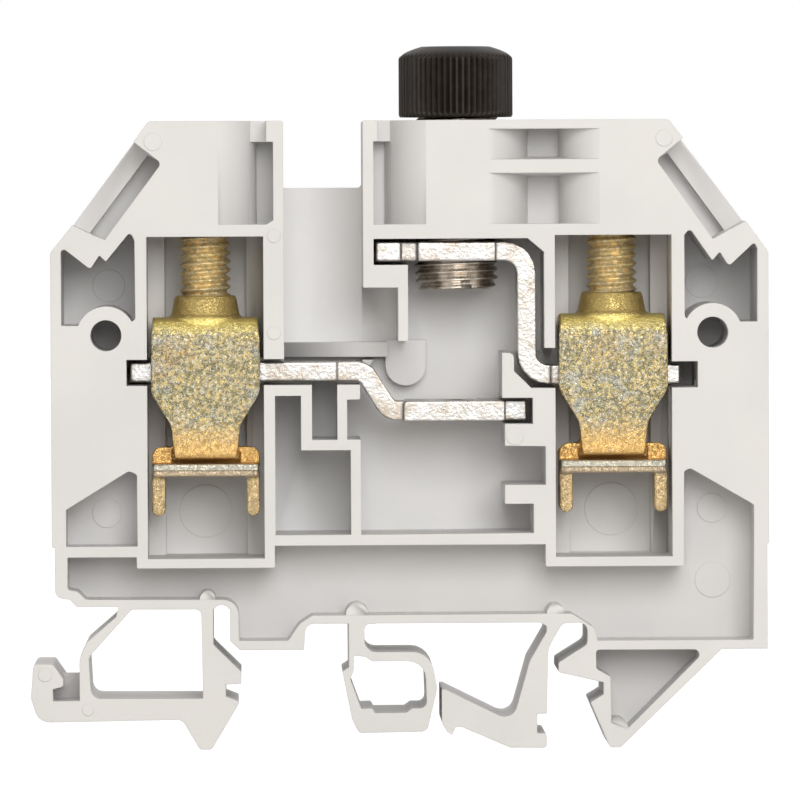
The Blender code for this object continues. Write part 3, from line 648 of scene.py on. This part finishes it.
# round marks of the mould's pins: x, z, radius and the depth of their face, in millimetres
pinMarks = {
    "rise": 0.05,
    "sink": 0.1,
    "thick": 0.5,
    "steps": 48,
    "spots": (
        (-22.95, 56.81, 0.84, 0.0), (24.78, 56.95, 0.79, 0.0), (-11.69, 47.98, 0.65, 0.0),
        (-11.74, 38.92, 0.65, 0.0), (10.72, 29.19, 0.84, 0.0), (29.45, 15.39, 1.68, 5.3),
        (30.14, 35.49, 0.75, 10.8), (-18.24, 21.89, 2.52, 10.8), (20.13, 21.90, 2.52, 10.8),
        (-27.52, 21.97, 1.40, 5.32), (29.39, 22.16, 1.40, 5.3), (-33.28, 7.08, 0.65, 0.0),
        (-29.28, 3.79, 0.56, 0.0), (-27.32, 43.29, 1.55, 10.8), (28.82, 43.39, 1.55, 10.8),
    ),
}


def makePinMarks(look):
    # discs cut to the block's own faces, a little proud of them
    mesh = bmesh.new()
    for x, z, radius, depth in look["spots"]:
        upright = Matrix.Rotation(math.radians(90.0), 4, "X")
        middle = Matrix.Translation((x * mm, faceY + (depth + look["sink"]) * mm, z * mm))
        bmesh.ops.create_cone(
            mesh, cap_ends=True, segments=look["steps"], radius1=radius * mm, radius2=radius * mm,
            depth=look["thick"] * mm, matrix=middle @ upright,
        )
    marks = objectFrom(mesh, "pinMarks")
    proud = copyOf("housing", "proud")
    proud.data.transform(Matrix.Translation((0, -look["rise"] * mm, 0)))
    step = marks.modifiers.new("fit", "BOOLEAN")
    step.operation = "INTERSECT"
    step.solver = "EXACT"
    step.object = proud
    settle(marks)
    bpy.data.objects.remove(proud, do_unlink=True)
    smoothByAngle(marks.data, 30.0)
    dress(marks, greyPlastic)
    return install(marks, "block", "housing")


makePinMarks(pinMarks)
print("pin marks done")


barLook = {"voxel": 0.10 * mm, "rounds": 3}


def softened(node, name, look, material):
    # a copy with its sharp edges worn round
    obj = copyOf(node, name)
    remesh = obj.modifiers.new("voxels", "REMESH")
    remesh.mode = "VOXEL"
    remesh.voxel_size = look["voxel"]
    relax = obj.modifiers.new("relax", "SMOOTH")
    relax.factor = 0.5
    relax.iterations = look["rounds"]
    settle(obj)
    obj.data.shade_smooth()
    return dress(obj, material)


for side in ("left", "right"):
    bar = softened("current_bar_" + side, "platedBar." + side, barLook, platedBar)
    install(bar, "block", "bar", "current_bar_" + side)
print("bars done")


yokeLook = {"voxel": 0.12 * mm, "rounds": 4, "legs": 3.7 * mm}
screwLook = {
    "radius": 2.38 * mm,
    "depth": 0.40 * mm,
    "pitch": 0.8 * mm,
    "around": 56,
    "rowsPerTurn": 12,
    "tip": 0.5 * mm,
    "seat": 49.45 * mm,
    "overlap": 0.3 * mm,
}


def clampScrew(side, look):
    low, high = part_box("clamp_screw_" + side)
    middle = (low + high) / 2
    length = look["seat"] - low.z
    rod = grow("clampScrew." + side, threadTree, {
        "Length": length, "Pitch": look["pitch"], "Radius": look["radius"], "Depth": look["depth"],
        "Tip": look["tip"], "Around": look["around"],
        "Rows": int(length / look["pitch"] * look["rowsPerTurn"]), "Finish": screwZinc,
    }, Vector((middle.x, middle.y, low.z)))
    rod.data.shade_smooth()
    joinInto(rod, topOf("clamp_screw_" + side, "head", look["seat"] - look["overlap"]))
    smoothByAngle(rod.data, 50.0)
    dress(rod, screwZinc)
    return install(rod, "screw_" + side, "clamp", "clamp_screw_" + side)


for side in ("left", "right"):
    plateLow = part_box("clamp_yoke_" + side)[0].z + yokeLook["legs"]
    finish = zincMaterial(zincLook, "yellowZinc." + side, plateLow)
    yoke = softened("clamp_yoke_" + side, "clampYoke." + side, yokeLook, finish)
    install(yoke, "yoke_" + side, "clamp", "clamp_yoke_" + side)
    clampScrew(side, screwLook)
print("clamps done")


sleeveLook = {
    "pitch": 0.75 * mm,
    "depth": 0.38 * mm,
    "around": 72,
    "rowsPerTurn": 12,
    "tip": 0.35 * mm,
    "bore": 2.92 * mm,
    "roof": 0.95 * mm,
    "slotWidth": 1.0 * mm,
    "slotDepth": 0.5 * mm,
    "slotTurn": 14.0,
}
knobShape = {
    "ribs": 58,
    "groove": 0.26 * mm,
    "around": 58 * 8,
    "rows": 70,
    "slotWidth": 1.2 * mm,
    "slotDepth": 0.9 * mm,
    "bore": 4.17 * mm,
    "roof": 2.0 * mm,
}
coilLook = {"turns": 5.5, "wire": 0.28 * mm}


def capSleeve(look):
    low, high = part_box("fuse_cap_sleeve")
    middle = (low + high) / 2
    length = high.z - low.z
    rod = grow("capSleeve", threadTree, {
        "Length": length, "Pitch": look["pitch"], "Radius": (high.x - low.x) / 2, "Depth": look["depth"],
        "Tip": look["tip"], "Around": look["around"],
        "Rows": int(length / look["pitch"] * look["rowsPerTurn"]), "Finish": platedThread,
    }, Vector((middle.x, middle.y, low.z)))
    bore = boreTool(middle, look["bore"], low.z, high.z - look["roof"])
    half = look["slotWidth"] / 2
    slot = boxAt("slot", (-6 * mm, -half, -1.0 * mm), (6 * mm, half, look["slotDepth"]))
    way = Matrix.Rotation(math.radians(90.0 + look["slotTurn"]), 4, "Z")
    slot.data.transform(Matrix.Translation((middle.x, middle.y, low.z)) @ way)
    cutBy(rod, bore, slot)
    smoothByAngle(rod.data, 45.0)
    dress(rod, platedThread)
    return install(rod, "fuse_cap", "sleeve", "fuse_cap_sleeve")


# how the cap's side goes up: heights from its lower end, and depths from its top
capForm = {
    "valley": (0.30, 1.0),
    "ribStart": (0.05 * mm, 0.5 * mm),
    "ribEnd": (0.62 * mm, 1.25 * mm),
    "chamferRise": 0.2 * mm,
    "chamfer": 0.12 * mm,
    "domeDepth": 1.25 * mm,
    "dome": 2.1 * mm,
    "domePower": 2.1,
}


def ribbedShape(given, turn, along):
    height = along * given.other("Height")
    phase = (turn * given.other("Ribs")).fraction()
    valley = abs(phase * 2.0 - 1.0).ramp(*capForm["valley"])
    down = given.other("Height") - height
    ribbed = height.ramp(*capForm["ribStart"]) * down.ramp(*capForm["ribEnd"])
    chamfer = (1.0 - height.ramp(0.0, capForm["chamferRise"])) * capForm["chamfer"]
    dome = (1.0 - down.ramp(0.0, capForm["domeDepth"])).power(capForm["domePower"]) * capForm["dome"]
    radius = given.other("Radius") - given.other("Groove") * valley * ribbed - chamfer - dome
    return radius, height


ribTree = gridTree("ribbedCap", ("Height", "Ribs", "Radius", "Groove"), ribbedShape)


def capKnob(look):
    low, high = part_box("fuse_cap_knob")
    middle = (low + high) / 2
    knob = grow("capKnob", ribTree, {
        "Height": high.z - low.z, "Ribs": float(look["ribs"]), "Radius": (high.x - low.x) / 2,
        "Groove": look["groove"], "Around": look["around"], "Rows": look["rows"], "Finish": blackPlastic,
    }, Vector((middle.x, middle.y, low.z)))
    half = look["slotWidth"] / 2
    slot = boxAt(
        "slot", (low.x - 1.0 * mm, middle.y - half, high.z - look["slotDepth"]),
        (high.x + 1.0 * mm, middle.y + half, high.z + 1.0 * mm),
    )
    bore = boreTool(middle, look["bore"], low.z, high.z - look["roof"])
    cutBy(knob, slot, bore)
    smoothByAngle(knob.data, 40.0)
    dress(knob, blackPlastic)
    return install(knob, "fuse_cap", "knob", "fuse_cap_knob")


def coilTree():
    tree = bpy.data.node_groups.new("coil", "GeometryNodeTree")
    tree.is_modifier = True
    for label in ("Turns", "Radius", "Length", "Wire"):
        tree.interface.new_socket(label, in_out="INPUT", socket_type="NodeSocketFloat")
    tree.interface.new_socket("Finish", in_out="INPUT", socket_type="NodeSocketMaterial")
    tree.interface.new_socket("Geometry", in_out="OUTPUT", socket_type="NodeSocketGeometry")
    graph = Graph(tree)
    given = graph.add("NodeGroupInput")
    radius = given.other("Radius")
    coil = graph.add("GeometryNodeCurveSpiral", None, {
        "Resolution": 36, "Rotations": given.other("Turns"), "Start Radius": radius, "End Radius": radius,
        "Height": given.other("Length"),
    })
    wire = graph.add("GeometryNodeCurvePrimitiveCircle", {"mode": "RADIUS"}, {
        "Resolution": 12, "Radius": given.other("Wire"),
    })
    body = graph.add("GeometryNodeCurveToMesh", None, {
        "Curve": coil, "Profile Curve": wire, "Fill Caps": True,
    })
    real = graph.add("GeometryNodeRealizeInstances", None, {"Geometry": body})
    final = graph.add("GeometryNodeSetMaterial", None, {
        "Geometry": real, "Material": given.other("Finish"),
    })
    graph.add("NodeGroupOutput", None, {"Geometry": final})
    return tree


def capSpring(look):
    low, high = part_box("fuse_cap_spring")
    middle = (low + high) / 2
    wire = look["wire"]
    coil = grow("capSpring", coilTree(), {
        "Turns": look["turns"], "Radius": (high.x - low.x) / 2 - wire, "Length": high.z - low.z - 2 * wire,
        "Wire": wire, "Finish": platedThread,
    }, Vector((middle.x, middle.y, low.z + wire)))
    coil.data.shade_smooth()
    dress(coil, platedThread)
    return install(coil, "cap_spring", "spring", "fuse_cap_spring")


capSleeve(sleeveLook)
capKnob(knobShape)
capSpring(coilLook)
print("fuse cap done")


studio = {
    "ambient": 0.62,
    "ambientTint": (1.0, 0.95, 0.90),
    "key": {"direction": (1.6, -10.8, 4.2), "distance": 0.75, "size": 0.42, "power": 3.6},
    "fill": {"direction": (-1.6, -3.0, -1.4), "distance": 0.9, "size": 0.5, "power": 1.1},
    "floorSize": 3.0,
    "floorGlow": 1.18,
    "shadowShare": 0.12,
}


def shownToCamera(graph):
    path = graph.add("ShaderNodeLightPath", out="Is Camera Ray")
    seen = path + path.other("Is Glossy Ray") + path.other("Is Transmission Ray")
    return seen > 0.5


def makeFloor():
    size = studio["floorSize"] / 2
    data = bpy.data.meshes.new("floor")
    corners = [(-size, -size), (size, -size), (size, size), (-size, size)]
    data.from_pydata([(x, y, -0.0002) for x, y in corners], [], [(0, 1, 2, 3)])
    floor = link(bpy.data.objects.new("floor", data))
    made, graph = newMaterial("paleFloor")
    glow = graph.add("ShaderNodeEmission", None, {"Color": (1, 1, 1, 1), "Strength": studio["floorGlow"]})
    plain = graph.add("ShaderNodeBsdfDiffuse", None, {"Color": (0.8, 0.8, 0.8, 1)})
    share = shownToCamera(graph) * (1.0 - studio["shadowShare"])
    finishMaterial(graph, graph.add("ShaderNodeMixShader", None, {0: share, 1: plain, 2: glow}))
    data.materials.append(made)


def makeWorld():
    world = bpy.data.worlds.new("studio")
    bpy.context.scene.world = world
    world.use_nodes = True
    world.node_tree.nodes.clear()
    graph = Graph(world.node_tree)
    seen = shownToCamera(graph)
    strength = seen * 1.0 + (1.0 - seen) * studio["ambient"]
    colour = blendColour(graph, seen, studio["ambientTint"], (1, 1, 1))
    sky = graph.add("ShaderNodeBackground", None, {"Color": colour, "Strength": strength})
    graph.add("ShaderNodeOutputWorld", None, {"Surface": sky})


def areaLight(name, look, target):
    lamp = bpy.data.lights.new(name, "AREA")
    lamp.shape = "SQUARE"
    lamp.size = look["size"]
    lamp.energy = look["power"]
    obj = link(bpy.data.objects.new(name, lamp))
    away = Vector(look["direction"]).normalized()
    obj.location = target + away * look["distance"]
    obj.rotation_mode = "QUATERNION"
    obj.rotation_quaternion = (-away).to_track_quat("-Z", "Y")


# millimetres and degrees; the roll is in radians
photoView = {
    "target": (0.0, -6.0, 32.6),
    "azimuth": -1.0,
    "elevation": 1.5,
    "roll": -0.0048,
    "distance": 750.0,
    "width": 74.72,
}


def makeCamera():
    turn = math.radians(photoView["azimuth"])
    tilt = math.radians(photoView["elevation"])
    away = Vector((
        math.sin(turn) * math.cos(tilt), -math.cos(turn) * math.cos(tilt), math.sin(tilt),
    ))
    data = bpy.data.cameras.new("camera")
    data.sensor_width = 36.0
    data.lens = 36.0 * photoView["distance"] / photoView["width"]
    data.clip_start = 0.01
    data.clip_end = 10.0
    camera = link(bpy.data.objects.new("camera", data))
    camera.location = Vector(photoView["target"]) * mm + away * photoView["distance"] * mm
    camera.rotation_mode = "QUATERNION"
    level = (-away).to_track_quat("-Z", "Y")
    camera.rotation_quaternion = level @ Matrix.Rotation(photoView["roll"], 3, "Z").to_quaternion()
    bpy.context.scene.camera = camera


makeFloor()
makeWorld()
middle = (cadBox[0] + cadBox[1]) / 2
areaLight("keyLight", studio["key"], middle)
areaLight("fillLight", studio["fill"], middle)
makeCamera()
bpy.context.scene.view_settings.view_transform = "Standard"
print("studio ready")
